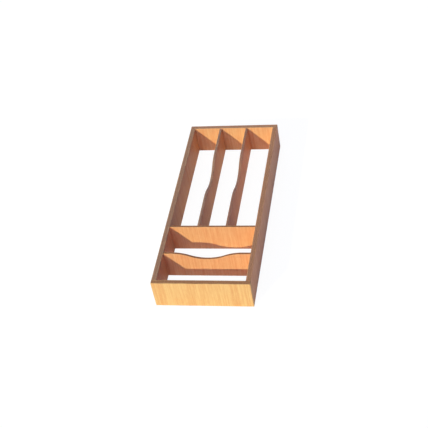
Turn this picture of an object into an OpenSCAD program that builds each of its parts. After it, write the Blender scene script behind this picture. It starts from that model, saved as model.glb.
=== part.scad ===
// Knife tray: an open-bottomed drawer insert of glued boards, with two cross bays and three long bays.
// Millimetres. X runs across the tray, Y from front to back and Z up from the underside.

/* [Tray] */
// Overall width, left to right
tray_w = 200; // [190:1:320]
// Overall length, front to back
tray_l = 490; // [420:1:600]
// Height of the frame boards
tray_h = 65; // [50:1:100]

/* [Boards] */
// Thickness of the frame boards
wall_t = 10; // [8:0.5:14]
// Thickness of the dividers
divider_t = 5; // [4:0.5:8]
// How far the dividers stop below the rim
divider_drop = 1; // [0:0.5:5]
// Radius of the eased edges
edge_r = 0.8; // [0.3:0.1:1.5]

/* [Bays] */
// Clear depth of each cross bay, front to back
cross_bay = 72; // [50:1:100]
// Clear width of the middle long bay
middle_bay = 55; // [35:1:65]

/* [Finger scoops] */
// Width of a scoop from shoulder to shoulder
scoop_w = 146; // [80:1:150]
// Depth of a scoop below the top of its divider
scoop_d = 15; // [6:1:25]

/* [Housings] */
// Depth of a housing in a frame board
wall_housing_d = 4; // [2:0.5:5]
// Depth of a housing in the plain cross divider
divider_housing_d = 2; // [1:0.5:2.5]
// Height of the shoulder that covers the stopped end of a housing
shoulder_h = 12; // [8:1:20]
// Glue clearance round a tongue
glue_gap = 0.1; // [0.05:0.05:0.3]

/* [Dowels] */
// Dowel diameter
dowel_d = 6; // [4:0.5:6]
// Dowel length
dowel_l = 25; // [20:1:30]
// How far a dowel enters the front or back board
dowel_bite = 6.5; // [4:0.5:7]
// Height of a dowel's axis from the nearer long edge of its boards
dowel_edge = 16; // [10:1:20]
// Radial clearance of a dowel in its hole
dowel_gap = 0.05; // [0.02:0.01:0.1]
// Room for glue past each end of a dowel
dowel_end_gap = 0.5; // [0.2:0.1:0.8]
// Chamfer at each end of a dowel
dowel_chamfer = 0.8; // [0.3:0.1:1.2]
// Number of glue flutes round a dowel
flute_count = 10; // [6:1:14]
// Depth of a glue flute
flute_depth = 0.3; // [0.1:0.1:0.5]

/* [Hidden] */
$fn = 64;
// Segments in an eased edge, and from the middle of a scoop to its shoulder
ease_steps = 3;
scoop_steps = 16;
// How far a cutter reaches past the face it opens
cut_over = 1;

inner_w = tray_w - 2 * wall_t;
side_l = tray_l - 2 * wall_t;
divider_h = tray_h - divider_drop;
tongue_h = divider_h - shoulder_h;
housing_w = divider_t + 2 * glue_gap;

// Centre lines of the side boards and the dividers
side_x = (tray_w - wall_t) / 2;
scooped_y = cross_bay + divider_t / 2 - side_l / 2;
plain_y = scooped_y + divider_t + cross_bay;
long_x = (middle_bay + divider_t) / 2;
// The long dividers run from the back of the plain cross divider to the back board
plain_back = plain_y + divider_t / 2;
long_l = side_l / 2 - plain_back;
long_y = (side_l / 2 + plain_back) / 2;

// A scoop is two mirrored S curves, each of two equal arcs that meet at half the depth
scoop_half = scoop_w / 2;
scoop_r = (scoop_half ^ 2 + scoop_d ^ 2) / (4 * scoop_d);

board_colour = [0.96, 0.75, 0.49];
divider_colour = [0.94, 0.68, 0.44];
dowel_colour = [0.87, 0.74, 0.56];

ENDS = ["front", "back"];
SIDES = ["left", "right"];
LEVELS = ["lower", "upper"];
function dowel_name(e, s, l) = str("dowel_", ENDS[e], "_", SIDES[s], "_", LEVELS[l]);
DOWELS = [for (e = [0, 1]) for (s = [0, 1]) for (l = [0, 1]) [e, s, l]];
BOARDS = ["front_board", "back_board", "left_side", "right_side"];
DIVIDERS = ["scooped_cross_divider", "cross_divider", "left_long_divider", "right_long_divider"];

// Quarter circle of an eased edge round the centre [a, b], from the angle start
function eased_corner(a, b, start) =
    [
        for (i = [0 : ease_steps])
            let (turn = start + 90 * i / ease_steps)
            [a + edge_r * cos(turn), b + edge_r * sin(turn)]
    ];

// Rectangle w wide and h high with eased corners, centred in width and standing on zero
function eased_rectangle(w, h) =
    let (a = w / 2 - edge_r, top = h - edge_r)
    concat(
        eased_corner(-a, edge_r, 180),
        eased_corner(a, edge_r, 270),
        eased_corner(a, top, 0),
        eased_corner(-a, top, 90)
    );

// Fall of a scooped edge at the distance u from the middle: hollow arc, then shoulder arc, then level
function scoop_fall(u) =
    let (d = abs(u))
    d >= scoop_half ? 0
    : d > scoop_half / 2 ? scoop_r - sqrt(scoop_r ^ 2 - (scoop_half - d) ^ 2)
    : scoop_d - scoop_r + sqrt(scoop_r ^ 2 - d ^ 2);

// Straight board along X, centred, standing on the ground
module eased_board(length, t, h) {
    rotate([90, 0, 90]) linear_extrude(length, center = true) polygon(eased_rectangle(t, h));
}

// Scooped divider along X: its eased section is carried along the length and follows the scoop
module scooped_board(length) {
    scoop_stations = [for (i = [-scoop_steps : scoop_steps]) scoop_half * i / scoop_steps];
    stations = concat([-length / 2], scoop_stations, [length / 2]);
    sections = [for (u = stations) eased_rectangle(divider_t, divider_h - scoop_fall(u))];
    ring = len(sections[0]);
    last = len(stations) - 1;
    skin = [
        for (i = [0 : last - 1]) for (j = [0 : ring - 1])
            let (k = (j + 1) % ring)
            [i * ring + j, (i + 1) * ring + j, (i + 1) * ring + k, i * ring + k]
    ];
    start_cap = [for (j = [0 : ring - 1]) j];
    end_cap = [for (j = [ring - 1 : -1 : 0]) last * ring + j];
    points = [for (i = [0 : last]) for (p = sections[i]) [stations[i], p[0], p[1]]];
    polyhedron(points, concat([start_cap], skin, [end_cap]));
}

// Tongue on the end of a divider: toward is 1 at the +X end and -1 at the other
module tongue(length, toward, housing_d) {
    tongue_l = housing_d - glue_gap;
    translate([toward * (length + tongue_l) / 2, 0, 0]) eased_board(tongue_l, divider_t, tongue_h);
}

// Cutter for a stopped housing, open at the underside, that goes housing_d into -Y from the face y = 0
module housing(housing_d) {
    slot_h = tongue_h + glue_gap;
    reach = housing_d + cut_over;
    translate([-housing_w / 2, -housing_d, -cut_over]) cube([housing_w, reach, slot_h + cut_over]);
    translate([0, cut_over, slot_h]) rotate([90, 0, 0]) cylinder(d = housing_w, h = reach);
}

// The whole tray's outline with its four upright corners eased
module tray_block() {
    linear_extrude(tray_h) translate([0, -tray_l / 2]) polygon(eased_rectangle(tray_w, tray_l));
}

// Puts a child at one dowel's place, with +Z into the side board from the corner's joint face
module at_dowel(e, s, l) {
    end = 2 * e - 1;
    side = 2 * s - 1;
    height = l == 0 ? dowel_edge : tray_h - dowel_edge;
    translate([side * side_x, end * side_l / 2, height]) rotate([end * 90, 0, 0]) children();
}

module dowel_holes() {
    for (d = DOWELS)
        at_dowel(d[0], d[1], d[2])
            translate([0, 0, -dowel_bite - dowel_end_gap])
                cylinder(d = dowel_d + 2 * dowel_gap, h = dowel_l + 2 * dowel_end_gap);
}

module corner_dowel(e, s, l) {
    r = dowel_d / 2;
    profile = [
        [0, 0],
        [r - dowel_chamfer, 0],
        [r, dowel_chamfer],
        [r, dowel_l - dowel_chamfer],
        [r - dowel_chamfer, dowel_l],
        [0, dowel_l]
    ];
    color(dowel_colour)
        at_dowel(e, s, l)
            translate([0, 0, -dowel_bite])
                difference() {
                    rotate_extrude() polygon(profile);
                    for (i = [0 : flute_count - 1])
                        rotate([0, 0, 360 * i / flute_count])
                            translate([r, 0, -cut_over])
                                cylinder(r = flute_depth, h = dowel_l + 2 * cut_over);
                }
}

// Front or back board: end is -1 at the front and 1 at the back
module end_board(end) {
    difference() {
        intersection() {
            translate([0, end * (tray_l - wall_t) / 2, 0]) eased_board(tray_w, wall_t, tray_h);
            tray_block();
        }
        dowel_holes();
    }
}

module front_board() {
    color(board_colour) end_board(-1);
}

module back_board() {
    color(board_colour)
        difference() {
            end_board(1);
            for (side = [-1, 1])
                translate([side * long_x, side_l / 2, 0]) rotate([0, 0, 180]) housing(wall_housing_d);
        }
}

// Side board between the front and back boards: side is -1 on the left and 1 on the right
module side_board(side) {
    color(board_colour)
        difference() {
            translate([side * side_x, 0, 0]) rotate([0, 0, 90]) eased_board(side_l, wall_t, tray_h);
            dowel_holes();
            for (y = [scooped_y, plain_y])
                translate([side * inner_w / 2, y, 0]) rotate([0, 0, side * 90]) housing(wall_housing_d);
        }
}

module scooped_cross_divider() {
    color(divider_colour)
        translate([0, scooped_y, 0]) {
            scooped_board(inner_w);
            for (side = [-1, 1]) tongue(inner_w, side, wall_housing_d);
        }
}

module cross_divider() {
    color(divider_colour)
        difference() {
            translate([0, plain_y, 0]) {
                eased_board(inner_w, divider_t, divider_h);
                for (side = [-1, 1]) tongue(inner_w, side, wall_housing_d);
            }
            for (side = [-1, 1]) translate([side * long_x, plain_back, 0]) housing(divider_housing_d);
        }
}

// Long divider: side is -1 on the left and 1 on the right
module long_divider(side) {
    color(divider_colour)
        translate([side * long_x, long_y, 0])
            rotate([0, 0, 90]) {
                scooped_board(long_l);
                tongue(long_l, -1, divider_housing_d);
                tongue(long_l, 1, wall_housing_d);
            }
}

front_board();
back_board();
side_board(-1);  // left_side
side_board(1);  // right_side
scooped_cross_divider();
cross_divider();
long_divider(-1);  // left_long_divider
long_divider(1);  // right_long_divider
for (d = DOWELS)
    corner_dowel(d[0], d[1], d[2]);
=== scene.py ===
"""Knife tray: eased boards with their joints, oiled wood with upright grain, studio light and camera."""

import logging
import math
from dataclasses import dataclass, field
from enum import Enum
from typing import Sequence, Union

import bpy
import numpy as np
from mathutils import Matrix, Vector


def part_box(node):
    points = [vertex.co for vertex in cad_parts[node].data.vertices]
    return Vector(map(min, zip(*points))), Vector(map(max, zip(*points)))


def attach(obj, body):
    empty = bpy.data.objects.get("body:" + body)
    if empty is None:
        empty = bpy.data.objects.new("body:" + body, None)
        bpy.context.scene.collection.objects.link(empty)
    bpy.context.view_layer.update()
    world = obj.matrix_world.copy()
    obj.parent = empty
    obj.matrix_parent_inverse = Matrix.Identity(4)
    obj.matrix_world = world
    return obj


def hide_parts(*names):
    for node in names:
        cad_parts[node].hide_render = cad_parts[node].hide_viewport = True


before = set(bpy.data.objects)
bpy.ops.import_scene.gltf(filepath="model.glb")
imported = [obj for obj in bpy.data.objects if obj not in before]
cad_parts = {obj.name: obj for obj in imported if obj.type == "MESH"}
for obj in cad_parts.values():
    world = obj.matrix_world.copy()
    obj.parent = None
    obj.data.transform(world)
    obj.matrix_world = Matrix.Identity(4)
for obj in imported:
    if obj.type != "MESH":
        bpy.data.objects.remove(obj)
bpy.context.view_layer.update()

LOG = logging.getLogger("knife_tray")
MM = 0.001
BODY = "root"
IMAGE_PX = 428

Colour = tuple[float, float, float]
Feed = Union[float, int, Sequence[float], bpy.types.NodeSocket]
Feeds = dict[Union[str, int], Feed]


class Heading(Enum):
    """Quarter turn from a board's own frame to the tray's, as the cosine and sine of the turn.

    In its own frame a board runs along S, its thickness is along T and its grain stands along Z.
    The members are named for where +T points, which is the side that holds housings.
    """

    TO_BACK = (1, 0)
    TO_LEFT = (0, 1)
    TO_FRONT = (-1, 0)
    TO_RIGHT = (0, -1)

    def to_tray(self, s: np.ndarray, t: np.ndarray) -> tuple[np.ndarray, np.ndarray]:
        """Turn board coordinates into tray directions.

        Args:
            s: Distances along the board.
            t: Distances across the board's thickness.

        Returns:
            The X and Y parts of the turned points.
        """
        cosine, sine = self.value
        return s * cosine - t * sine, s * sine + t * cosine

    def angle(self) -> float:
        """The turn in radians."""
        return math.atan2(self.value[1], self.value[0])


class Wiring:
    """Short way to add and join the nodes of one node tree."""

    def __init__(self, tree: bpy.types.NodeTree) -> None:
        """Keep the tree that the nodes go into."""
        self.tree = tree

    def feed(self, socket: bpy.types.NodeSocket, value: Feed) -> None:
        """Join a socket to another, or set its value.

        Args:
            socket: The input to feed.
            value: A socket to join, or a plain value.
        """
        if isinstance(value, bpy.types.NodeSocket):
            self.tree.links.new(value, socket)
        else:
            socket.default_value = value

    def feed_all(self, node: bpy.types.Node, values: Feeds) -> None:
        """Feed several inputs of one node, by name or index."""
        for name, value in values.items():
            self.feed(node.inputs[name], value)

    def node(self, kind: str, inputs: Union[Feeds, None] = None, **settings: object) -> bpy.types.Node:
        """Add a node.

        Args:
            kind: The node's type name without its ShaderNode prefix.
            inputs: Values or sockets by input name or index.
            settings: Properties of the node itself.

        Returns:
            The new node.
        """
        made = self.tree.nodes.new(f"ShaderNode{kind}")
        for name, value in settings.items():
            setattr(made, name, value)
        self.feed_all(made, inputs or {})
        return made

    def math(self, operation: str, *values: Feed) -> bpy.types.NodeSocket:
        """Add a Math node and return its output."""
        return self.node("Math", dict(enumerate(values)), operation=operation).outputs[0]

    def vector(self, operation: str, *values: Feed) -> bpy.types.NodeSocket:
        """Add a Vector Math node and return its vector output."""
        return self.node("VectorMath", dict(enumerate(values)), operation=operation).outputs[0]

    def span(self, value: Feed, low: float, high: float, start: float = 0.0, stop: float = 1.0,
             curve: str = "SMOOTHSTEP") -> bpy.types.NodeSocket:
        """Map a value from low..high to start..stop and return the result."""
        inputs = {"Value": value, 1: low, 2: high, 3: start, 4: stop}
        return self.node("MapRange", inputs, interpolation_type=curve).outputs[0]

    def weighted(self, start: Feed, *terms: tuple[Feed, float]) -> bpy.types.NodeSocket:
        """Add values to a start value, each times its own weight.

        Args:
            start: What the sum starts from.
            terms: The values with their weights.

        Returns:
            The sum.
        """
        total = start
        for value, weight in terms:
            total = self.math("MULTIPLY_ADD", value, weight, total)
        return total

    def noise(self, place: Feed, scale: float, detail: float = 3.0,
              rough: float = 0.6) -> bpy.types.NodeSocket:
        """Add a Noise texture and return its value."""
        inputs = {"Vector": place, "Scale": scale, "Detail": detail, "Roughness": rough}
        return self.node("TexNoise", inputs).outputs["Fac"]

    def trait(self, name: str) -> bpy.types.NodeSocket:
        """Read a value that the mesh carries at its corners, which is zero where it carries none."""
        return self.node("Attribute", attribute_name=name, attribute_type="GEOMETRY").outputs["Fac"]

    def blend(self, share: Feed, first: Feed, second: Feed) -> bpy.types.NodeSocket:
        """Mix two colours.

        Args:
            share: Share of the second colour, held between 0 and 1.
            first: Colour at a share of 0.
            second: Colour at a share of 1.

        Returns:
            The mixed colour.
        """
        first_colour, second_colour, mixed_colour = 6, 7, 2
        mix = self.node("Mix", {0: share}, data_type="RGBA", clamp_factor=True)
        for slot, colour in ((first_colour, first), (second_colour, second)):
            joined = isinstance(colour, bpy.types.NodeSocket)
            self.feed(mix.inputs[slot], colour if joined else (*colour, 1.0))
        return mix.outputs[mixed_colour]


GroupParts = tuple[bpy.types.NodeTree, Wiring, dict[str, bpy.types.NodeSocket], bpy.types.Node]


def node_group(name: str, inputs: dict[str, str], outputs: Sequence[str]) -> GroupParts:
    """Start a shader node group with named sockets.

    Args:
        name: Name of the group.
        inputs: Kind of each input socket, by name.
        outputs: Names of the outputs, which are all plain values.

    Returns:
        The tree, its wiring, its input sockets by name and the node that takes its outputs.
    """
    tree = bpy.data.node_groups.new(name, "ShaderNodeTree")
    for label, kind in inputs.items():
        tree.interface.new_socket(name=label, in_out="INPUT", socket_type=f"NodeSocket{kind}")
    for label in outputs:
        tree.interface.new_socket(name=label, in_out="OUTPUT", socket_type="NodeSocketFloat")
    entry = tree.nodes.new("NodeGroupInput")
    leave = tree.nodes.new("NodeGroupOutput")
    return tree, Wiring(tree), {label: entry.outputs[label] for label in inputs}, leave


@dataclass(frozen=True)
class GrainScales:
    """How often each part of the grain comes in a metre, and how far it is drawn out upright."""

    fibres: float = 1500.0
    pores: float = 1300.0
    flecks: float = 900.0
    mottle: float = 420.0
    streaks: float = 320.0
    figure: float = 300.0
    rays: float = 160.0
    wear: float = 60.0
    drawn_fibres: tuple[float, float, float] = (1.0, 1.0, 0.14)
    drawn_figure: tuple[float, float, float] = (1.0, 1.0, 0.24)


GRAIN = GrainScales()
# A wave texture of scale one repeats every tau / 20
WAVE_PERIOD = math.tau / 20


def upright_grain() -> bpy.types.NodeTree:
    """Grain of edge-glued staves that stand upright.

    Each stave is cut from its own place in a trunk: its growth rings are circles round a pith that
    lies beside it, so they stand as lines on the faces and lie as arcs on the ends.

    Returns:
        The group. Tone runs from -1 to 1 and the other outputs from 0 to 1.
    """
    pith_sideways, pith_near, pith_far = 45.0 * MM, 20.0 * MM, 110.0 * MM
    ring_rise, stave_apart = 0.22, 3.7
    rays_per_radian = 110.0
    bare_share = 0.62
    seam_starts, seam_full = 0.493, 0.499
    group, wire, given, leave = node_group(
        "upright_grain",
        {"Timber": "Vector", "Stave Width": "Float", "Ring Scale": "Float"},
        ("Tone", "Rings", "Rays", "Streaks", "Figure", "Fibres", "Flecks", "Seams"),
    )
    along, through, height = wire.node("SeparateXYZ", {0: given["Timber"]}).outputs
    staves = wire.math("DIVIDE", along, given["Stave Width"])
    stave = wire.math("FLOOR", staves)
    chance = wire.node("TexWhiteNoise", {"W": stave}, noise_dimensions="1D")
    drawn = wire.node("SeparateColor", {0: chance.outputs["Color"]}).outputs
    off_middle = wire.math("SUBTRACT", wire.math("FRACT", staves), 0.5)
    in_stave = wire.math("MULTIPLY", off_middle, given["Stave Width"])
    pith_s = wire.span(drawn[0], 0, 1, -pith_sideways, pith_sideways, "LINEAR")
    pith_t = wire.span(drawn[1], 0, 1, pith_near, pith_far, "LINEAR")
    out_s = wire.math("SUBTRACT", in_stave, pith_s)
    out_t = wire.math("SUBTRACT", through, pith_t)
    own_height = wire.weighted(wire.math("MULTIPLY", stave, stave_apart), (height, ring_rise))
    from_pith = wire.node("CombineXYZ", {0: out_s, 1: out_t, 2: own_height}).outputs[0]
    bearing = wire.math("MULTIPLY", wire.math("ARCTAN2", out_t, out_s), rays_per_radian)
    level = wire.node("CombineXYZ", {0: out_s, 1: out_t}).outputs[0]
    distance = wire.node("VectorMath", {0: level}, operation="LENGTH").outputs["Value"]
    outward = wire.math("MULTIPLY", distance, GRAIN.rays)
    ray_place = wire.node("CombineXYZ", {0: bearing, 1: outward, 2: stave}).outputs[0]
    rings = wire.node("TexWave", {
        "Vector": from_pith, "Scale": given["Ring Scale"], "Distortion": 4.0, "Detail": 2.0,
        "Detail Scale": 26.0, "Detail Roughness": 0.55,
    }, wave_type="RINGS", rings_direction="Z", wave_profile="SAW")
    fibre_place = wire.vector("MULTIPLY", from_pith, GRAIN.drawn_fibres)
    figure_place = wire.vector("MULTIPLY", given["Timber"], GRAIN.drawn_figure)
    cells = wire.node("TexVoronoi", {"Vector": figure_place, "Scale": GRAIN.flecks, "Randomness": 1.0})
    dash = wire.span(cells.outputs["Distance"], 0.16, 0.34, 1.0, 0.0)
    lot = wire.node("SeparateColor", {0: cells.outputs["Color"]}).outputs[0]
    wire.feed_all(leave, {
        "Tone": wire.span(drawn[2], 0, 1, -1, 1, "LINEAR"),
        "Rings": rings.outputs["Fac"],
        "Rays": wire.span(wire.noise(ray_place, 1.0, detail=2.0), 0.46, 0.62),
        "Streaks": wire.span(wire.noise(fibre_place, GRAIN.streaks), 0.34, 0.66),
        "Figure": wire.span(wire.noise(figure_place, GRAIN.figure, rough=0.65), 0.34, 0.66),
        "Fibres": wire.span(wire.noise(fibre_place, GRAIN.fibres), 0.3, 0.7),
        "Flecks": wire.math("MULTIPLY", dash, wire.math("GREATER_THAN", lot, bare_share)),
        "Seams": wire.span(wire.math("ABSOLUTE", off_middle), seam_starts, seam_full),
    })
    return group


def end_grain() -> bpy.types.NodeTree:
    """Cut ends of the fibres: open pores in a faint mottle, where the surface lies across the grain.

    Returns:
        The group. Cut is the share of end grain, and Pores and Mottle run from 0 to 1.
    """
    group, wire, given, leave = node_group(
        "end_grain",
        {"Timber": "Vector", "Across": "Float"},
        ("Cut", "Pores", "Mottle"),
    )
    flat_place = wire.vector("MULTIPLY", given["Timber"], (1.0, 1.0, 0.0))
    pores = wire.node("TexVoronoi", {"Vector": flat_place, "Scale": GRAIN.pores, "Randomness": 1.0})
    mottle = wire.noise(flat_place, GRAIN.mottle, detail=4.0, rough=0.65)
    wire.feed_all(leave, {
        "Cut": wire.span(given["Across"], 0.45, 0.85),
        "Pores": wire.span(pores.outputs["Distance"], 0.12, 0.38, 1.0, 0.0),
        "Mottle": wire.span(mottle, 0.3, 0.7),
    })
    return group


def rubbed_edges() -> bpy.types.NodeTree:
    """Wear along the eased edges, broken up so that it comes and goes.

    Returns:
        The group. Wear runs from 0 to 1.
    """
    group, wire, given, leave = node_group(
        "rubbed_edges",
        {"Timber": "Vector", "Edge": "Float"},
        ("Wear",),
    )
    least, most = -0.55, 0.25
    patches = wire.noise(given["Timber"], GRAIN.wear, detail=5.0, rough=0.65)
    reach = wire.math("ADD", given["Edge"], wire.span(patches, 0.3, 0.7, least, most))
    wire.feed_all(leave, {"Wear": wire.span(reach, 0.1, 1.0)})
    return group


@dataclass(frozen=True)
class WoodFinish:
    """Oiled wood of one plank, its grain upright or lying along Y: linear colours, sizes in metres."""

    body: Colour
    # Colour of the cut ends. On the planks it is darker than end grain alone: part of it is painted shade
    # that keeps the lit tops looking unlit.
    cut_end: Colour
    swing: Colour = (0.05, 0.17, 0.21)
    stave_width: float = 44.0 * MM
    ring_spacing: float = 4.2 * MM
    lying: bool = False
    roughness: float = 0.5
    gloss: float = 0.061
    relief_height: float = 0.12 * MM
    relief_strength: float = 0.35

    def shade(self, depth: float) -> Colour:
        """Colour of the faces at a depth of figure from -1, the palest wood, to 1, the deepest."""
        red, green, blue = (part * (1 - depth * swing) for part, swing in zip(self.body, self.swing))
        return red, green, blue

    def cut_shade(self, share: float) -> Colour:
        """Colour of the cut ends, partly painted shade on the planks, as a share of their usual brightness.
        """
        red, green, blue = (part * share for part in self.cut_end)
        return red, green, blue

    def dress(self, piece: bpy.types.Object, heading: Heading, timber: Vector,
              groups: dict[str, bpy.types.NodeTree]) -> None:
        """Give a piece its own material, cut from its own place in the timber.

        Args:
            piece: The piece to dress.
            heading: The turn from the piece's frame to the tray's.
            timber: Place in the timber that the piece is cut from.
            groups: The shared node groups by name.
        """
        material = bpy.data.materials.new(f"{piece.name}_wood")
        material.use_nodes = True
        wire = Wiring(material.node_tree)
        shader = material.node_tree.nodes["Principled BSDF"]
        tipped = math.pi / 2 if self.lying else 0.0
        spot = wire.node("Mapping", {
            "Vector": wire.node("TexCoord").outputs["Object"],
            "Rotation": (tipped, 0.0, -heading.angle()),
            "Location": timber,
        }).outputs[0]
        grain = wire.node("Group", {
            "Timber": spot,
            "Stave Width": self.stave_width,
            "Ring Scale": WAVE_PERIOD / self.ring_spacing,
        }, node_tree=groups["upright_grain"]).outputs
        ends = wire.node("Group", {"Timber": spot, "Across": wire.trait("across")},
                         node_tree=groups["end_grain"]).outputs
        wear = wire.node("Group", {"Timber": spot, "Edge": wire.trait("rubbed")},
                         node_tree=groups["rubbed_edges"]).outputs["Wear"]
        self.colour(wire, shader, grain, ends, wear)
        self.relief(wire, shader, grain, ends, wear)
        shader.inputs["Specular IOR Level"].default_value = self.gloss
        if not piece.material_slots:
            piece.data.materials.append(material)
        for slot in piece.material_slots:
            slot.material = material

    def colour(self, wire: Wiring, shader: bpy.types.Node, grain: bpy.types.NodeOutputs,
               ends: bpy.types.NodeOutputs, wear: bpy.types.NodeSocket) -> None:
        """Mix the wood's colour: late wood, streaks, fibres, flecks, seams, cut ends and worn edges. The cut
        ends are darker partly as painted shade.

        Args:
            wire: Wiring of the material.
            shader: The material's shader.
            grain: Outputs of the upright grain.
            ends: Outputs of the end grain.
            wear: Share of edge wear.
        """
        palest, deepest, mark_depth = -1, 1, 3
        fleck_share, seam_share, wear_share = 0.25, 0.35, 0.3
        pale_cut, deep_cut = 1.3, 0.6
        late = wire.span(grain["Rings"], 0.35, 0.95)
        depth = wire.weighted(-0.29, (late, 0.32), (grain["Streaks"], 0.68), (grain["Figure"], 0.28),
                              (grain["Fibres"], 0.3), (grain["Tone"], 0.1))
        face = wire.blend(depth, self.shade(palest), self.shade(deepest))
        marks = wire.math("MAXIMUM", wire.math("MULTIPLY", grain["Flecks"], fleck_share),
                          wire.math("MULTIPLY", grain["Seams"], seam_share))
        face = wire.blend(marks, face, self.shade(mark_depth))
        # Cut-end colours carry painted shade as well as end grain: the tops, which the key lights, are kept
        # as dark as faces the key does not reach.
        cut_depth = wire.weighted(0.11, (late, 0.4), (ends["Pores"], 0.34), (grain["Rays"], -0.22),
                                  (ends["Mottle"], 0.12))
        cut = wire.blend(cut_depth, self.cut_shade(pale_cut), self.cut_shade(deep_cut))
        whole = wire.blend(ends["Cut"], face, cut)
        rubbed = wire.blend(wire.math("MULTIPLY", wear, wear_share), whole, self.shade(palest))
        wire.feed(shader.inputs["Base Color"], rubbed)

    def relief(self, wire: Wiring, shader: bpy.types.Node, grain: bpy.types.NodeOutputs,
               ends: bpy.types.NodeOutputs, wear: bpy.types.NodeSocket) -> None:
        """Set roughness and bump: raised late wood and fibres, sunken flecks and pores, smoother worn edges.

        Args:
            wire: Wiring of the material.
            shader: The material's shader.
            grain: Outputs of the upright grain.
            ends: Outputs of the end grain.
            wear: Share of edge wear.
        """
        fibre_swing = 0.14
        rough = wire.weighted(self.roughness - fibre_swing / 2, (grain["Fibres"], fibre_swing),
                              (ends["Cut"], 0.12), (wear, -0.12))
        wire.feed(shader.inputs["Roughness"], rough)
        open_pores = wire.math("MULTIPLY", ends["Pores"], ends["Cut"])
        height = wire.weighted(0.0, (grain["Rings"], 0.25), (grain["Fibres"], 0.5), (grain["Flecks"], -0.5),
                               (open_pores, -0.6), (grain["Seams"], -0.8))
        bump = wire.node("Bump", {
            "Height": height, "Strength": self.relief_strength, "Distance": self.relief_height,
        })
        wire.feed(shader.inputs["Normal"], bump.outputs[0])


# Bodies were fitted board by board under this light, so part of the spread between boards is painted shade:
# the left side and the long dividers, whose seen faces turn from the key, carry less red, and the right side
# less green and blue.
FRONT_PLANK = WoodFinish(body=(0.787, 0.43, 0.187), cut_end=(0.35, 0.163, 0.079))
BACK_PLANK = WoodFinish(body=(0.815, 0.4, 0.2), cut_end=(0.385, 0.191, 0.116))
LEFT_PLANK = WoodFinish(body=(0.738, 0.413, 0.206), cut_end=(0.333, 0.179, 0.113))
RIGHT_PLANK = WoodFinish(body=(0.81, 0.35, 0.167), cut_end=(0.37, 0.18, 0.102))
SCOOPED_PLANK = WoodFinish(body=(0.862, 0.397, 0.2), cut_end=(0.259, 0.098, 0.041))
CROSS_PLANK = WoodFinish(body=(0.856, 0.413, 0.202), cut_end=(0.263, 0.116, 0.06))
LEFT_LONG_PLANK = WoodFinish(body=(0.76, 0.414, 0.213), cut_end=(0.306, 0.168, 0.117))
RIGHT_LONG_PLANK = WoodFinish(body=(0.737, 0.418, 0.216), cut_end=(0.308, 0.139, 0.095))
DOWEL_ROD = WoodFinish(body=(0.7, 0.52, 0.31), cut_end=(0.5, 0.36, 0.21), stave_width=12.0 * MM,
                       ring_spacing=2.0 * MM, lying=True)


@dataclass(frozen=True)
class Joinery:
    """Edge and joint sizes that the boards share, in metres, as the solids have them.

    The closed edge is the small easing where an end meets another board. Wear fades out over the
    rubbed band, and points at a fixed height keep the clear band below a scoop's edge.
    """

    eased_edge: float = 0.8 * MM
    closed_edge: float = 0.25 * MM
    wall_housing: float = 4.0 * MM
    divider_housing: float = 2.0 * MM
    shoulder: float = 12.0 * MM
    glue_gap: float = 0.1 * MM
    dowel_radius: float = 3.0 * MM
    dowel_gap: float = 0.05 * MM
    dowel_end_gap: float = 0.5 * MM
    rubbed_band: float = 2.5 * MM
    clear_band: float = 3.0 * MM
    edge_steps: int = 6


@dataclass(frozen=True)
class Scoop:
    """Finger scoop: two mirrored S curves, each of two equal arcs that meet at half the depth."""

    width: float = 146.0 * MM
    depth: float = 15.0 * MM
    steps: int = 48

    def fall(self, s: np.ndarray) -> np.ndarray:
        """Drop of the top edge: a hollow arc in the middle half, shoulder arcs outside it, then level.

        Args:
            s: Distances from the middle of the scoop.

        Returns:
            How far the edge lies below the divider's top at each distance.
        """
        half = self.width / 2
        radius = (half**2 + self.depth**2) / (4 * self.depth)
        out = np.minimum(np.abs(s), half)
        hollow = self.depth - radius + np.sqrt(radius**2 - np.minimum(out, half / 2) ** 2)
        shoulder = radius - np.sqrt(radius**2 - (half - np.maximum(out, half / 2)) ** 2)
        return np.where(out < half / 2, hollow, shoulder)

    def stations(self) -> np.ndarray:
        """Even stations from one shoulder to the other."""
        return np.linspace(-self.width / 2, self.width / 2, 2 * self.steps + 1)


@dataclass(frozen=True)
class DrilledRow:
    """Points and faces of a row of holes, and the paths up the two sides of their mouths."""

    points: np.ndarray
    faces: list[np.ndarray]
    near: np.ndarray
    far: np.ndarray


@dataclass(frozen=True)
class DowelHoles:
    """Blind holes in an upright row, drilled square into a face that is split along the row."""

    heights: tuple[float, ...]
    radius: float
    depth: float
    margin: float = 4.0 * MM
    steps: int = 16

    def drill(self, foot: np.ndarray, inward: np.ndarray, first: int) -> DrilledRow:
        """Work out the holes' mouths, walls and floors.

        A mouth is a circle from its lowest point round: the hole's centre, plus the radius times
        the sine of the turn sideways, less the radius times the cosine upwards. The floor is the
        same circle moved inward by the depth.

        Args:
            foot: Point on the face below the row, at zero height.
            inward: Direction of drilling, level and of length one.
            first: Index that the first new point gets.

        Returns:
            The row. Its near path is on the side of inward crossed with up.
        """
        up = np.array([0.0, 0.0, 1.0])
        turn = np.linspace(0, math.tau, 2 * self.steps, endpoint=False)
        circle = self.radius * (np.outer(np.sin(turn), np.cross(inward, up)) - np.outer(np.cos(turn), up))
        mouths = foot + np.outer(self.heights, up)[:, None] + circle
        mouth = first + np.arange(len(self.heights) * len(turn)).reshape(-1, len(turn))
        floor = mouth + mouth.size
        around = [np.roll(ring, -1, axis=1) for ring in (mouth, floor)]
        walls = np.stack([mouth, around[0], around[1], floor], axis=-1).reshape(-1, 4)
        half = np.arange(self.steps + 1)
        points = np.concatenate([mouths, mouths + self.depth * inward]).reshape(-1, 3)
        return DrilledRow(points, [walls, floor], mouth[:, half].ravel(), mouth[:, -half].ravel())


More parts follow.
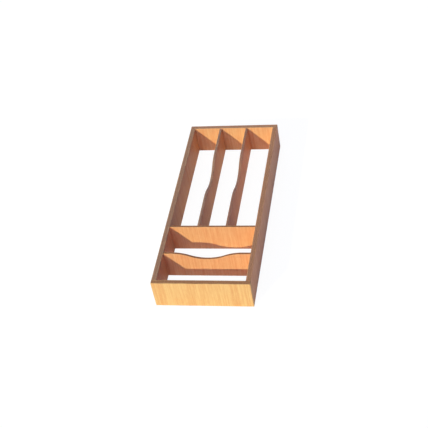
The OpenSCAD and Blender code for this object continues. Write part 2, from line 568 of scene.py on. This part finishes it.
@dataclass(frozen=True)
class EndEdges:
    """Radii of the four edges round a board's end: on its +T side, its -T side, above and below."""

    inner: float = 0.0
    outer: float = 0.0
    top: float = 0.0
    bottom: float = 0.0

    def reach(self) -> float:
        """The largest radius, which is how far the easing reaches along the board."""
        return max(self.inner, self.outer, self.top, self.bottom)


def quarter_round(distance: np.ndarray, radius: float) -> np.ndarray:
    """How far a rounded edge falls back: the radius less the height of a quarter circle.

    Args:
        distance: Distances in from the board's end.
        radius: Radius of the edge.

    Returns:
        Zero from one radius in, growing to the radius at the end itself.
    """
    if radius <= 0:
        return np.zeros_like(distance)
    past = np.clip(radius - distance, 0, radius)
    return radius - np.sqrt(radius**2 - past**2)


class Mark(Enum):
    """Points of a section that other faces start from."""

    FOOT = "middle of the underside"
    HEAD = "middle of the top"
    STRIP = "lower end of the plain strip on the +T face"
    TONGUE_RIGHT = "top of a tongue on the +T face"
    TONGUE_LEFT = "top of a tongue on the -T face"


@dataclass
class Ring:
    """Points round a board's section, counted from the lower -T corner with +T to the right.

    Each point hangs on one corner of the section: its place is the corner's arc centre, plus the
    radius times the direction of its turn, plus a plain offset along the face.
    """

    side: list[int] = field(default_factory=list)
    level: list[int] = field(default_factory=list)
    turn: list[float] = field(default_factory=list)
    along_t: list[float] = field(default_factory=list)
    along_z: list[float] = field(default_factory=list)
    pushed: list[bool] = field(default_factory=list)
    rubbed: list[float] = field(default_factory=list)
    marks: dict[Mark, int] = field(default_factory=dict)

    def across(self) -> np.ndarray:
        """How far the surface at each point lies across the upright grain: the size of its turn's sine."""
        return np.abs(np.sin(np.radians(self.turn)))

    def add(self, side: int, level: int, turn: float, dt: float = 0.0, dz: float = 0.0,
            pushed: bool = False, rubbed: float = 0.0, mark: Union[Mark, None] = None) -> None:
        """Add one point.

        Args:
            side: 1 on the +T side of the section, -1 on the other.
            level: 1 at the top of the section, -1 at the bottom.
            turn: Direction of the point from the arc's centre, in degrees from +T towards +Z.
            dt: Offset along T from the end of the arc.
            dz: Offset along Z from the end of the arc.
            pushed: Whether a housing pushes the point into the board.
            rubbed: Share of edge wear at the point.
            mark: What the point is found by later.
        """
        if mark:
            self.marks[mark] = len(self.side)
        self.side.append(side)
        self.level.append(level)
        self.turn.append(turn)
        self.along_t.append(dt)
        self.along_z.append(dz)
        self.pushed.append(pushed)
        self.rubbed.append(rubbed)

    def arc(self, side: int, level: int, start: float, steps: int, pushed: bool = False) -> None:
        """Add the quarter circle of one eased corner, from the direction start.

        Args:
            side: 1 on the +T side of the section, -1 on the other.
            level: 1 at the top of the section, -1 at the bottom.
            start: First direction, in degrees.
            steps: Number of segments in the quarter circle.
            pushed: Whether a housing pushes the corner into the board.
        """
        for turn in np.linspace(start, start + 90, steps + 1):
            self.add(side, level, float(turn), pushed=pushed, rubbed=1.0)


@dataclass
class Board:
    """One board of the tray, made as an eased section carried along its length.

    The section's four corners are arcs whose centres follow the board: the top follows a scoop, the
    ends close in on their own quarter rounds, a housing pushes one face in between two stations, and
    a tongue carries the lower part of the section on past the shoulder. Holes for dowels are drilled
    into the ends or the +T face.
    """

    node: str
    heading: Heading
    slot: str
    plank: WoodFinish
    joinery: Joinery
    ends: EndEdges = EndEdges()
    housings: tuple[float, ...] = ()
    housing_depth: float = 0.0
    tongues: tuple[float, float] = (0.0, 0.0)
    scoop: Union[Scoop, None] = None
    end_holes: Union[DowelHoles, None] = None
    face_holes: Union[DowelHoles, None] = None
    face_hole_rows: tuple[float, ...] = ()
    length: float = field(init=False)
    thickness: float = field(init=False)
    height: float = field(init=False)
    place: np.ndarray = field(init=False)

    def __post_init__(self) -> None:
        """Take the board's place and size from its solid in the frame."""
        low, high = (np.array(corner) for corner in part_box(self.node))
        width, depth, height = (float(part) for part in high - low)
        runs_along_x = self.heading.value[1] == 0
        reach, self.thickness = (width, depth) if runs_along_x else (depth, width)
        self.height = height
        self.length = reach - sum(self.tongues)
        back_off = (self.tongues[0] - self.tongues[1]) / 2
        shift = np.array(self.heading.to_tray(np.array(back_off), np.array(0.0)))
        self.place = (low + high)[:2] / 2 + shift

    @property
    def tongue_height(self) -> float:
        """Height of the tongues under the shoulders."""
        return self.height - self.joinery.shoulder

    @property
    def slot_height(self) -> float:
        """Height of the housings that take such tongues."""
        divider_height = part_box("cross_divider")[1].z
        return float(divider_height) - self.joinery.shoulder + self.joinery.glue_gap

    @property
    def slot_width(self) -> float:
        """Width of a housing: the thickness of a divider and its glue clearance on both sides."""
        low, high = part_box("cross_divider")
        return float(high.y - low.y) + 2 * self.joinery.glue_gap

    def stations(self) -> tuple[np.ndarray, np.ndarray]:
        """Places along the board where the section is set, doubled where a housing starts or stops.

        Returns:
            The distances from the board's middle, in order, and whether each lies in a housing.
        """
        half = self.length / 2
        steps = np.linspace(0, math.pi / 2, self.joinery.edge_steps + 1)
        inset = self.ends.reach() * (1 - np.sin(steps))
        plain = [np.unique(np.concatenate([half - inset, inset - half]))]
        if self.scoop:
            plain.append(self.scoop.stations())
        for row in self.face_hole_rows:
            plain.append(row + self.face_holes.margin * np.array([-1, 0, 1]))
        places = np.unique(np.concatenate(plain))
        inside = np.zeros(len(places))
        width = self.slot_width
        for centre in self.housings:
            low, high = centre - width / 2, centre + width / 2
            places = np.concatenate([places, [low, low, high, high]])
            inside = np.concatenate([inside, [0, 1, 1, 0]])
        within = np.where(np.isin(places, [c + width / 2 for c in self.housings]), -inside, inside)
        order = np.lexsort((within, places))
        return places[order], inside[order] > 0

    def ring(self) -> Ring:
        """Lay out the points of the section.

        Returns:
            The ring, with marks where a tongue, dowel holes in the ends or holes in a face begin.
        """
        edge, steps = self.joinery.eased_edge, self.joinery.edge_steps
        band = self.joinery.rubbed_band
        top_band = min(band, self.thickness / 4)
        to_middle = edge - self.thickness / 2
        ring = Ring()
        ring.arc(-1, -1, 180, steps)
        if self.end_holes:
            ring.add(1, -1, 270, dt=to_middle, mark=Mark.FOOT)
        if self.housings:
            ring.add(1, -1, 270, dt=-self.housing_depth)
        ring.arc(1, -1, 270, steps, pushed=True)
        ring.add(1, -1, 0, dz=band, pushed=True, mark=Mark.STRIP)
        if any(self.tongues):
            ring.add(1, -1, 0, dz=self.tongue_height - edge, pushed=True, mark=Mark.TONGUE_RIGHT)
        if self.housings:
            ring.add(1, -1, 0, dz=self.slot_height - edge, pushed=True)
            ring.add(1, -1, 0, dz=self.slot_height - edge)
        ring.add(1, 1, 0, dz=-band)
        ring.arc(1, 1, 0, steps)
        ring.add(1, 1, 90, dt=-top_band)
        if self.end_holes:
            ring.add(1, 1, 90, dt=to_middle, mark=Mark.HEAD)
        ring.add(-1, 1, 90, dt=top_band)
        ring.arc(-1, 1, 90, steps)
        ring.add(-1, 1, 180, dz=-band)
        if any(self.tongues):
            ring.add(-1, -1, 180, dz=self.tongue_height - edge, mark=Mark.TONGUE_LEFT)
        ring.add(-1, -1, 180, dz=band)
        return ring

    def section_points(self, ring: Ring, places: np.ndarray, inside: np.ndarray) -> np.ndarray:
        """Carry the ring along the board.

        A point is its corner's arc centre plus the edge radius times its direction. The centre
        lies one radius in from the faces, which close in by the ends' quarter rounds, and the top
        falls with the scoop. Points at a fixed height sink with the top where it dips below them.

        Args:
            ring: Points of the section.
            places: Stations along the board.
            inside: Whether each station lies in a housing.

        Returns:
            Board coordinates S, T and Z, as an array of stations by ring points by 3.
        """
        edge = self.joinery.eased_edge
        turn = np.radians(ring.turn)
        side, level = np.array(ring.side), np.array(ring.level)
        to_end = self.length / 2 - np.abs(places)
        inner = self.thickness / 2 - quarter_round(to_end, self.ends.inner)
        outer = self.thickness / 2 - quarter_round(to_end, self.ends.outer)
        top = self.height - quarter_round(to_end, self.ends.top)
        if self.scoop:
            top = top - self.scoop.fall(places)
        bottom = quarter_round(to_end, self.ends.bottom)
        half = np.where(side > 0, inner[:, None] - edge, edge - outer[:, None])
        centre = np.where(level > 0, top[:, None] - edge, bottom[:, None] + edge)
        push = self.housing_depth * np.outer(inside, ring.pushed)
        t = half + edge * np.cos(turn) + np.array(ring.along_t) - push
        z = centre + edge * np.sin(turn) + np.array(ring.along_z)
        under_top = (top - edge - self.joinery.clear_band)[:, None]
        z = np.where(level < 0, np.minimum(z, under_top), z)
        s = np.broadcast_to(places[:, None], t.shape)
        return np.stack([s, t, z], axis=-1)

    def surface(self) -> tuple[np.ndarray, list[np.ndarray], list[np.ndarray]]:
        """Work out the board's whole closed surface in its own frame.

        Returns:
            The points, the faces as arrays of indices, and at each face's corners the edge wear and
            how far the surface lies across the grain.
        """
        ring = self.ring()
        places, inside = self.stations()
        grid = self.section_points(ring, places, inside)
        rows, count = grid.shape[:2]
        index = np.arange(rows * count).reshape(rows, count)
        after = np.roll(index, -1, axis=1)
        quads = np.stack([index[:-1], after[:-1], after[1:], index[1:]], axis=-1)
        traits = np.tile(np.stack([ring.rubbed, ring.across()], axis=-1), (rows, 1))
        points = grid.reshape(-1, 3)
        whole = np.ones(quads.shape[:2], dtype=bool)
        plain: list[np.ndarray] = []
        for place in self.face_hole_rows:
            row = int(np.argmin(np.abs(places - place)))
            strip = ring.marks[Mark.STRIP]
            whole[row - 1 : row + 1, strip] = False
            points, blocks = self.drilled_face(points, index[row - 1 : row + 2, strip : strip + 2])
            plain += blocks
        for toward, row, length in ((-1, 0, self.tongues[0]), (1, rows - 1, self.tongues[1])):
            points, blocks = self.end_faces(points, index[row], ring.marks, toward, length)
            plain += blocks
        faces = [quads[whole]] + plain
        corner_traits = [traits[quads[whole]]] + [np.zeros((*block.shape, 2)) for block in plain]
        return points, faces, corner_traits

    def drilled_face(self, points: np.ndarray, corners: np.ndarray) -> tuple[np.ndarray, list[np.ndarray]]:
        """Drill a row of holes into the +T face, along the line between two of its quads.

        Args:
            points: All points so far.
            corners: Indices at three stations by the lower and upper end of the strip.

        Returns:
            The points with the holes' own added, and the two quads with half circles cut out, the
            holes' walls and their floors.
        """
        foot = points[corners[1, 0]] * (1.0, 1.0, 0.0)
        row = self.face_holes.drill(foot, np.array([0.0, -1.0, 0.0]), len(points))
        first, middle, last = corners
        before = np.concatenate([first, middle[1:], row.near[::-1], middle[:1]])
        behind = np.concatenate([middle[:1], row.far, middle[1:], last[::-1]])
        return np.concatenate([points, row.points]), [before[None], behind[None]] + row.faces

    def end_faces(self, points: np.ndarray, loop: np.ndarray, marks: dict[Mark, int], toward: int,
                  length: float) -> tuple[np.ndarray, list[np.ndarray]]:
        """Close one end of the board: with a tongue, with two halves round dowel holes, or flat.

        Args:
            points: All points so far.
            loop: Indices of the end's ring.
            marks: Marked points of the ring.
            toward: 1 at the +S end and -1 at the other.
            length: Length of the tongue, or zero for none.

        Returns:
            The points with the end's own added, and blocks of faces.
        """
        holes: list[np.ndarray] = []
        caps = [loop]
        if length > 0:
            points, caps = self.tongue_faces(points, loop, marks, toward, length)
        elif self.end_holes:
            foot, head = marks[Mark.FOOT], marks[Mark.HEAD]
            under = points[loop[foot]] * (1.0, 1.0, 0.0)
            row = self.end_holes.drill(under, np.array([-toward, 0.0, 0.0]), len(points))
            right, left = (row.near, row.far) if toward > 0 else (row.far, row.near)
            caps = [
                np.concatenate([loop[foot : head + 1], right[::-1]]),
                np.concatenate([loop[head:], loop[: foot + 1], left]),
            ]
            points, holes = np.concatenate([points, row.points]), row.faces
        return points, [(cap if toward > 0 else cap[::-1])[None] for cap in caps] + holes

    def tongue_faces(self, points: np.ndarray, loop: np.ndarray, marks: dict[Mark, int], toward: int,
                     length: float) -> tuple[np.ndarray, list[np.ndarray]]:
        """Close one end of the board with a shoulder and a tongue.

        The tongue is the part of the end's ring below the shoulder, moved along S by its length.

        Args:
            points: All points so far.
            loop: Indices of the end's ring.
            marks: Marked points of the ring.
            toward: 1 at the +S end and -1 at the other.
            length: Length of the tongue.

        Returns:
            The points with the tongue's own added, and its faces turned for the +S end.
        """
        right, left = marks[Mark.TONGUE_RIGHT], marks[Mark.TONGUE_LEFT]
        lower = np.concatenate([loop[left:], loop[: right + 1]])
        upper = loop[right : left + 1]
        tip = np.arange(len(lower)) + len(points)
        moved = points[lower] + np.array([toward * length, 0.0, 0.0])
        skirt = np.stack([lower[:-1], lower[1:], tip[1:], tip[:-1]], axis=-1)
        lid = np.array([lower[-1], lower[0], tip[0], tip[-1]])
        sides = list(skirt) + [lid]
        return np.concatenate([points, moved]), [upper, tip] + sides

    def build(self) -> bpy.types.Object:
        """Make the board's mesh in the tray's frame, ride it on the tray and let it stand for its solid.

        Returns:
            The finished board.
        """
        points, faces, corner_traits = self.surface()
        x, y = self.heading.to_tray(points[:, 0], points[:, 1])
        tray_points = np.stack([x + self.place[0], y + self.place[1], points[:, 2]], axis=-1)
        mesh = closed_mesh(f"{self.node}_dressed", tray_points, faces, corner_traits)
        board = bpy.data.objects.new(f"{self.node}_dressed", mesh)
        bpy.context.scene.collection.objects.link(board)
        by_area_alone = 100
        even = board.modifiers.new("even_shading", "WEIGHTED_NORMAL")
        even.weight = by_area_alone
        even.keep_sharp = True
        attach(board, BODY)
        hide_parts(self.node)
        return board


def closed_mesh(name: str, points: np.ndarray, faces: list[np.ndarray],
                corner_traits: list[np.ndarray]) -> bpy.types.Mesh:
    """Join points that share a place, drop the faces that this empties and make a mesh.

    Args:
        name: Name of the mesh.
        points: All points, some of them in the same place.
        faces: Blocks of faces, each block with one number of corners.
        corner_traits: Edge wear and lie across the grain at the corners of each block.

    Returns:
        A closed mesh with smooth faces, sharp joint edges and the corner attributes rubbed and across.
    """
    same_place, sharp_from = 1e-7, math.radians(40)
    places = np.round(points / same_place).astype(np.int64)
    _, first, inverse = np.unique(places, axis=0, return_index=True, return_inverse=True)
    inverse = inverse.reshape(-1)
    kept_faces: list[list[int]] = []
    kept_traits: list[np.ndarray] = []
    for block, traits in zip(faces, corner_traits):
        corners = inverse[block]
        repeats = corners == np.roll(corners, -1, axis=1)
        whole = ~repeats.any(axis=1)
        folded = repeats.sum(axis=1) == 1
        for keep, width in ((whole, block.shape[1]), (folded, block.shape[1] - 1)):
            mask = ~repeats[keep]
            kept_faces += corners[keep][mask].reshape(-1, width).tolist()
            kept_traits.append(traits[keep][mask])
    mesh = bpy.data.meshes.new(name)
    mesh.from_pydata(points[first].tolist(), [], kept_faces)
    corners_in_order = np.concatenate(kept_traits).astype(np.float32)
    for column, trait in enumerate(("rubbed", "across")):
        layer = mesh.attributes.new(trait, "FLOAT", "CORNER")
        layer.data.foreach_set("value", np.ascontiguousarray(corners_in_order[:, column]))
    mesh.polygons.foreach_set("use_smooth", np.ones(len(mesh.polygons), dtype=bool))
    mesh.set_sharp_from_angle(angle=sharp_from)
    mesh.validate()
    return mesh


@dataclass(frozen=True)
class SoftLamp:
    """A far lamp that shines the same way everywhere; the wider its spread, the softer its shadows."""

    name: str
    direction: tuple[float, float, float]
    strength: float
    spread_deg: float
    colour: Colour = (1.0, 1.0, 1.0)
    stand_off: float = 2.0

    def build(self) -> bpy.types.Object:
        """Make the lamp and turn it to shine along its direction.

        Returns:
            The lamp.
        """
        light = bpy.data.lights.new(self.name, "SUN")
        light.energy = self.strength
        light.color = self.colour
        light.angle = math.radians(self.spread_deg)
        lamp = bpy.data.objects.new(self.name, light)
        bpy.context.scene.collection.objects.link(lamp)
        lamp.rotation_euler = Vector(self.direction).to_track_quat("-Z", "Y").to_euler()
        lamp.location = tuple(-self.stand_off * part for part in self.direction)
        return lamp


KEY = SoftLamp("key", direction=(0.43, 0.773, -0.475), strength=2.75, spread_deg=0.8,
               colour=(0.985, 1.0, 0.582))
FRONT_FILL = SoftLamp("front_fill", direction=(0.12, 0.6, -0.8), strength=1.01, spread_deg=30.0,
                      colour=(0.713, 0.881, 1.0))
BACK_FILL = SoftLamp("back_fill", direction=(0.35, -1.0, -0.3), strength=0.9, spread_deg=40.0)


@dataclass(frozen=True)
class Studio:
    """Pale floor in a white surround, a warm key from the front left, soft lamps and a cool fill."""

    lamps: tuple[SoftLamp, ...] = (KEY, FRONT_FILL, BACK_FILL)
    fill_strength: float = 0.285
    fill_colour: Colour = (0.2526, 0.3088, 1.0)
    floor_colour: Colour = (0.9, 0.9, 0.9)
    floor_white: float = 1.06
    floor_white_share: float = 0.9
    floor_half: float = 12.0

    def seen_directly(self, wire: Wiring) -> bpy.types.NodeSocket:
        """Tell rays that look at a surface from the light's own bounces.

        Args:
            wire: Wiring of the floor's material or of the world.

        Returns:
            One for rays from the camera, from gloss or through glass, and zero for others.
        """
        path = wire.node("LightPath").outputs
        seen = wire.math("MAXIMUM", path["Is Camera Ray"], path["Is Glossy Ray"])
        return wire.math("MAXIMUM", seen, path["Is Transmission Ray"])

    def floor(self) -> bpy.types.Object:
        """Make the floor: pale, with most of its white shown directly so that the shadow stays faint.

        Returns:
            The floor.
        """
        half = self.floor_half
        mesh = bpy.data.meshes.new("floor")
        corners = [(-half, -half, 0), (half, -half, 0), (half, half, 0), (-half, half, 0)]
        mesh.from_pydata(corners, [], [(0, 1, 2, 3)])
        floor = bpy.data.objects.new("floor", mesh)
        bpy.context.scene.collection.objects.link(floor)
        material = bpy.data.materials.new("pale_floor")
        material.use_nodes = True
        wire = Wiring(material.node_tree)
        leave = material.node_tree.nodes["Material Output"]
        material.node_tree.nodes.remove(material.node_tree.nodes["Principled BSDF"])
        plain = wire.node("BsdfDiffuse", {"Color": (*self.floor_colour, 1.0)})
        white = wire.node("Emission", {"Strength": self.floor_white})
        share = wire.math("MULTIPLY", self.seen_directly(wire), self.floor_white_share)
        mixed = wire.node("MixShader", {0: share, 1: plain.outputs[0], 2: white.outputs[0]})
        wire.feed(leave.inputs["Surface"], mixed.outputs[0])
        mesh.materials.append(material)
        return floor

    def surround(self) -> None:
        """Make the world: white where it is seen directly, and a dim fill where it lights the tray."""
        world = bpy.data.worlds.new("surround")
        world.use_nodes = True
        bpy.context.scene.world = world
        wire = Wiring(world.node_tree)
        leave = world.node_tree.nodes["World Output"]
        world.node_tree.nodes.remove(world.node_tree.nodes["Background"])
        fill = wire.node("Background", {"Color": (*self.fill_colour, 1.0), "Strength": self.fill_strength})
        white = wire.node("Background", {"Color": (1.0, 1.0, 1.0, 1.0), "Strength": 1.0})
        seen = self.seen_directly(wire)
        mixed = wire.node("MixShader", {0: seen, 1: fill.outputs[0], 2: white.outputs[0]})
        wire.feed(leave.inputs["Surface"], mixed.outputs[0])


@dataclass(frozen=True)
class PhotoCamera:
    """Camera at the photograph's viewing angle, aimed by angle, tilt and distance."""

    azimuth_deg: float = 16.853
    elevation_deg: float = 42.502
    roll_deg: float = -11.826
    distance: float = 2.1611
    aim: tuple[float, float, float] = (-0.01202, -0.0141, 0.0325)
    focal_px: float = 1013.2
    sensor_mm: float = 36.0

    def build(self) -> bpy.types.Object:
        """Place the camera: its axes are turned by azimuth and elevation, then rolled about its view.

        Returns:
            The scene's camera.
        """
        turn, lift, roll = (math.radians(a) for a in (self.azimuth_deg, self.elevation_deg, self.roll_deg))
        back = np.array([math.sin(turn) * math.cos(lift), -math.cos(turn) * math.cos(lift), math.sin(lift)])
        level = np.array([math.cos(turn), math.sin(turn), 0.0])
        up = np.cross(back, level)
        right = level * math.cos(roll) + up * math.sin(roll)
        top = up * math.cos(roll) - level * math.sin(roll)
        pose = np.eye(4)
        pose[:3, 0], pose[:3, 1], pose[:3, 2] = right, top, back
        pose[:3, 3] = np.array(self.aim) + back * self.distance
        lens = bpy.data.cameras.new("photo_camera")
        lens.sensor_fit = "HORIZONTAL"
        lens.sensor_width = self.sensor_mm
        lens.lens = self.focal_px * self.sensor_mm / IMAGE_PX
        camera = bpy.data.objects.new("photo_camera", lens)
        bpy.context.scene.collection.objects.link(camera)
        camera.matrix_world = Matrix(pose.tolist())
        bpy.context.scene.camera = camera
        return camera


@dataclass
class Tray:
    """The whole tray: frame boards, dividers and the dowels hidden in its corners.

    Each piece is cut from the timber one step on from the piece before it.
    """

    joinery: Joinery = field(default_factory=Joinery)
    scoop: Scoop = field(default_factory=Scoop)
    board_step: tuple[float, float, float] = (0.613, 0.0, 0.37)
    dowel_step: tuple[float, float, float] = (0.1, 0.0, 0.0)

    def centre(self, node: str, axis: int) -> float:
        """Middle of a solid along one axis."""
        low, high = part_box(node)
        return (low[axis] + high[axis]) / 2

    def frame_boards(self) -> list[Board]:
        """The four outer boards, each with its housings on the inner side.

        Returns:
            Front, back, left and right boards.
        """
        eased, closed = self.joinery.eased_edge, self.joinery.closed_edge
        free_end = EndEdges(inner=closed, outer=eased, top=eased, bottom=eased)
        butt_end = EndEdges(outer=closed, top=closed, bottom=closed)
        cross = tuple(self.centre(n, 1) for n in ("scooped_cross_divider", "cross_divider"))
        long = tuple(self.centre(n, 0) for n in ("left_long_divider", "right_long_divider"))
        depth = self.joinery.wall_housing
        corners = tuple(self.centre(n, 0) for n in ("left_side", "right_side"))
        face_holes, end_holes = self.dowel_holes()
        common = {"slot": "frame_wood", "joinery": self.joinery}
        across = {"ends": free_end, "face_holes": face_holes, "face_hole_rows": corners, **common}
        along = {"ends": butt_end, "end_holes": end_holes, "housing_depth": depth, **common}
        return [
            Board("front_board", Heading.TO_BACK, plank=FRONT_PLANK, **across),
            Board("back_board", Heading.TO_FRONT, plank=BACK_PLANK,
                  housings=tuple(-x for x in long), housing_depth=depth, **across),
            Board("left_side", Heading.TO_RIGHT, plank=LEFT_PLANK,
                  housings=tuple(-y for y in cross), **along),
            Board("right_side", Heading.TO_LEFT, plank=RIGHT_PLANK, housings=cross, **along),
        ]

    def dowel_holes(self) -> tuple[DowelHoles, DowelHoles]:
        """Holes that take the corner dowels, with their clearances.

        Returns:
            The row in the inner face of a front or back board, and the row in a side board's end.
        """
        heights = tuple(self.centre(f"dowel_front_left_{level}", 2) for level in ("lower", "upper"))
        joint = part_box("front_board")[1].y
        low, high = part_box("dowel_front_left_lower")
        radius = self.joinery.dowel_radius + self.joinery.dowel_gap
        spare = self.joinery.dowel_end_gap
        face_holes = DowelHoles(heights, radius, joint - low.y + spare)
        end_holes = DowelHoles(heights, radius, high.y - joint + spare)
        return face_holes, end_holes

    def dividers(self) -> list[Board]:
        """The two cross dividers and the two long ones, with their tongues.

        Returns:
            Scooped cross, plain cross, left long and right long dividers.
        """
        wall = self.joinery.wall_housing - self.joinery.glue_gap
        thin = self.joinery.divider_housing - self.joinery.glue_gap
        long = tuple(self.centre(n, 0) for n in ("left_long_divider", "right_long_divider"))
        common = {"slot": "divider_wood", "joinery": self.joinery}
        return [
            Board("scooped_cross_divider", Heading.TO_BACK, plank=SCOOPED_PLANK, tongues=(wall, wall),
                  scoop=self.scoop, **common),
            Board("cross_divider", Heading.TO_BACK, plank=CROSS_PLANK, tongues=(wall, wall),
                  housings=long, housing_depth=self.joinery.divider_housing, **common),
            Board("left_long_divider", Heading.TO_LEFT, plank=LEFT_LONG_PLANK, tongues=(thin, wall),
                  scoop=self.scoop, **common),
            Board("right_long_divider", Heading.TO_LEFT, plank=RIGHT_LONG_PLANK, tongues=(thin, wall),
                  scoop=self.scoop, **common),
        ]

    def build(self) -> None:
        """Make and dress every board, then dress the dowels where they are."""
        groups = {made.name: made for made in (upright_grain(), end_grain(), rubbed_edges())}
        for count, board in enumerate(self.frame_boards() + self.dividers()):
            made = board.build()
            board.plank.dress(made, board.heading, Vector(self.board_step) * count, groups)
            LOG.info("%s: %d faces", made.name, len(made.data.polygons))
        for count, (name, node) in enumerate(sorted(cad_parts.items())):
            if name.startswith("dowel_"):
                DOWEL_ROD.dress(node, Heading.TO_BACK, Vector(self.dowel_step) * count, groups)
                LOG.info("%s: dressed where it is", name)


def main() -> None:
    """Build the camera, the studio and the tray."""
    logging.basicConfig(level=logging.INFO, format="%(name)s: %(message)s")
    scene = bpy.context.scene
    scene.view_settings.view_transform = "Standard"
    PhotoCamera().build()
    studio = Studio()
    studio.floor()
    studio.surround()
    for lamp in studio.lamps:
        lamp.build()
    Tray().build()


if __name__ == "__main__":
    main()
